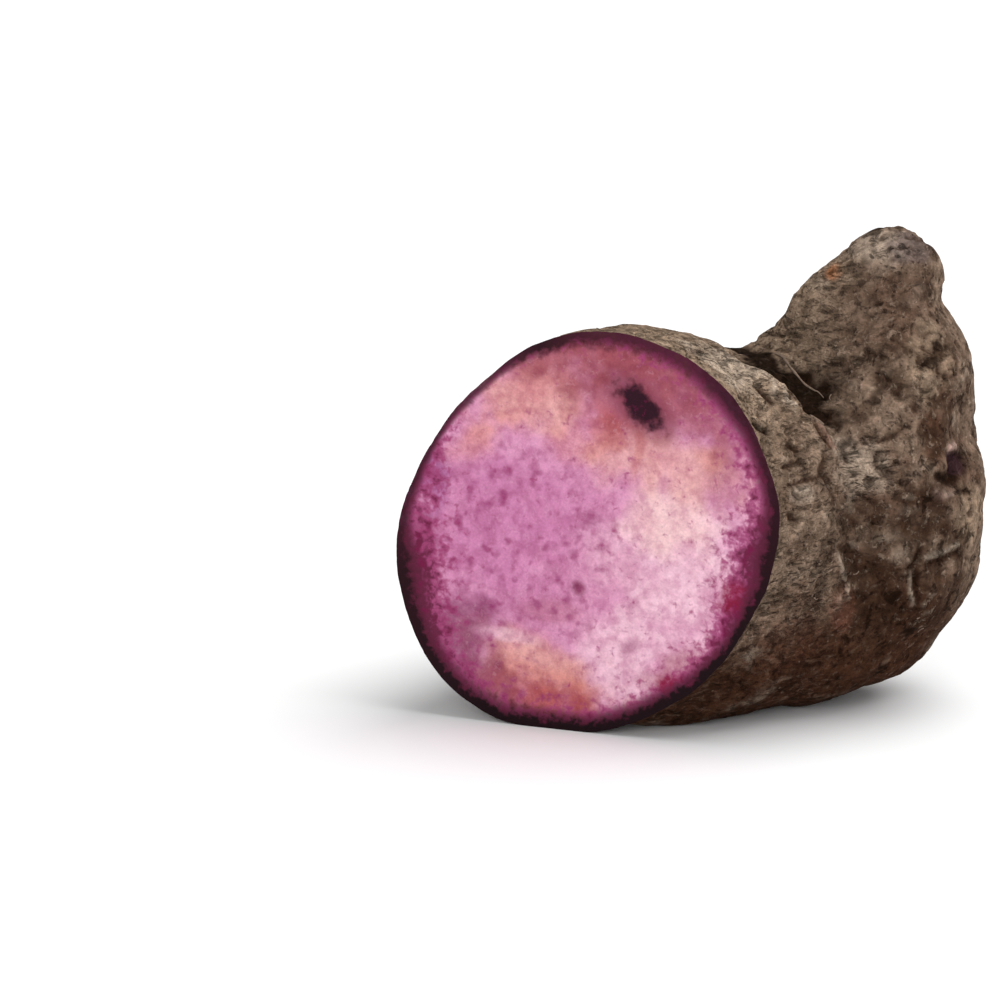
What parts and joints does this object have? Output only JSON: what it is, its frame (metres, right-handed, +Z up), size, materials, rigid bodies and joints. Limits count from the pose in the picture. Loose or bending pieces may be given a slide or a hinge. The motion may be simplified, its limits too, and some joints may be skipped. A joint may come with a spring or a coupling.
{
  "type": "purple yam half",
  "caption": "Half of a purple yam cut across its neck, with a flat upright cut face and a lobe standing up behind it.",
  "frame": {"origin": "on the surface the half rests on, below the centre of its bounding box", "axes": "+Z up from the surface; -Y out of the cut face; +X along the longest side, towards the standing lobe"},
  "size_m": [0.1214, 0.0822, 0.1102],
  "materials": {
    "skin": "matte",
    "flesh": "satin"
  },
  "bodies": {
    "root": {"yam_half": "skin"}
  },
  "joints": []
}
